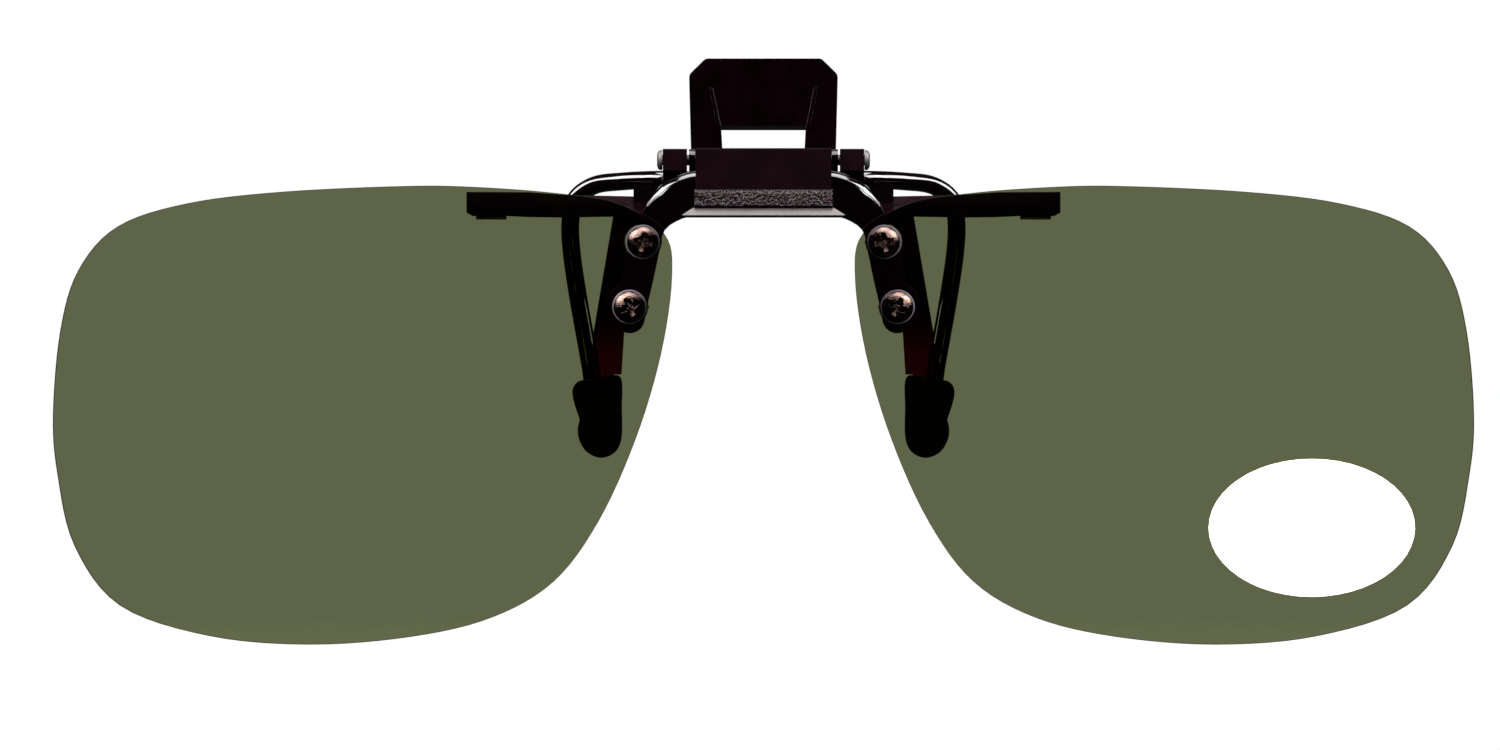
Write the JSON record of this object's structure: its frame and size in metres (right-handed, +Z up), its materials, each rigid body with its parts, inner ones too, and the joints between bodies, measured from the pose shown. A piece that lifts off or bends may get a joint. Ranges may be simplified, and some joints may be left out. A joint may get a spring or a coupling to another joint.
{
  "type": "clip-on flip lenses",
  "caption": "Clip-on flip-up tinted lenses: a sprung clip grips the spectacle rims and a detented bridge swings two rimless lenses up.",
  "frame": {"origin": "middle of the grip: halfway between the left and right jaws, on the rear face of the front rubber tips, at half the tips' height", "axes": "+X across the face, +Z up, the lenses' front faces -Y and the spectacles' wearer is on the +Y side"},
  "size_m": [0.1334, 0.0139, 0.0551],
  "materials": {
    "clip_plastic": "satin moulded, faintly see-through dark brown",
    "lever_plastic": "satin moulded",
    "bridge_plastic": "satin moulded, textured band",
    "wire_coating": "glossy black coating on spring wire",
    "tip_rubber": "soft semi-matte",
    "pin_steel": "satin",
    "spring_steel": "bright spring wire and strip",
    "screw_metal": "dark bronzed, polished",
    "washer_nylon": "natural nylon",
    "lens_tint": "polished grey-green tinted sheet",
    "label_paper": "white film label, blank"
  },
  "bodies": {
    "clip_base": {"base_frame": "clip_plastic", "brow_pad_left": "tip_rubber", "brow_pad_right": "tip_rubber", "front_tip_left": "tip_rubber", "front_tip_right": "tip_rubber", "axle_pin": "pin_steel", "detent_spring": "spring_steel", "torsion_spring": "spring_steel"},
    "lever": {"thumb_lever": "lever_plastic", "jaw_wire_left": "wire_coating", "jaw_wire_right": "wire_coating", "rear_tip_left": "tip_rubber", "rear_tip_right": "tip_rubber"},
    "flip": {"flip_bridge": "bridge_plastic", "lens_left": "lens_tint", "lens_right": "lens_tint", "lens_label": "label_paper", "screw_upper_left": "screw_metal", "screw_upper_right": "screw_metal", "screw_lower_left": "screw_metal", "screw_lower_right": "screw_metal", "nut_upper_left": "screw_metal", "nut_upper_right": "screw_metal", "nut_lower_left": "screw_metal", "nut_lower_right": "screw_metal", "washer_upper_left": "washer_nylon", "washer_upper_right": "washer_nylon", "washer_lower_left": "washer_nylon", "washer_lower_right": "washer_nylon"}
  },
  "joints": [
    {"name": "flip_up", "type": "hinge", "parent": "clip_base", "child": "flip", "pos_m": [0, -0.0032, 0.0245], "axis": [-1, 0, 0], "range_deg": [0, 90], "deforming": ["detent_spring"]},
    {"name": "clip_open", "type": "hinge", "parent": "clip_base", "child": "lever", "pos_m": [0, -0.0032, 0.0245], "axis": [1, 0, 0], "range_deg": [0, 20], "stiffness_Nm_per_rad": 0.05, "springref_deg": -17.19, "deforming": ["torsion_spring"]}
  ]
}
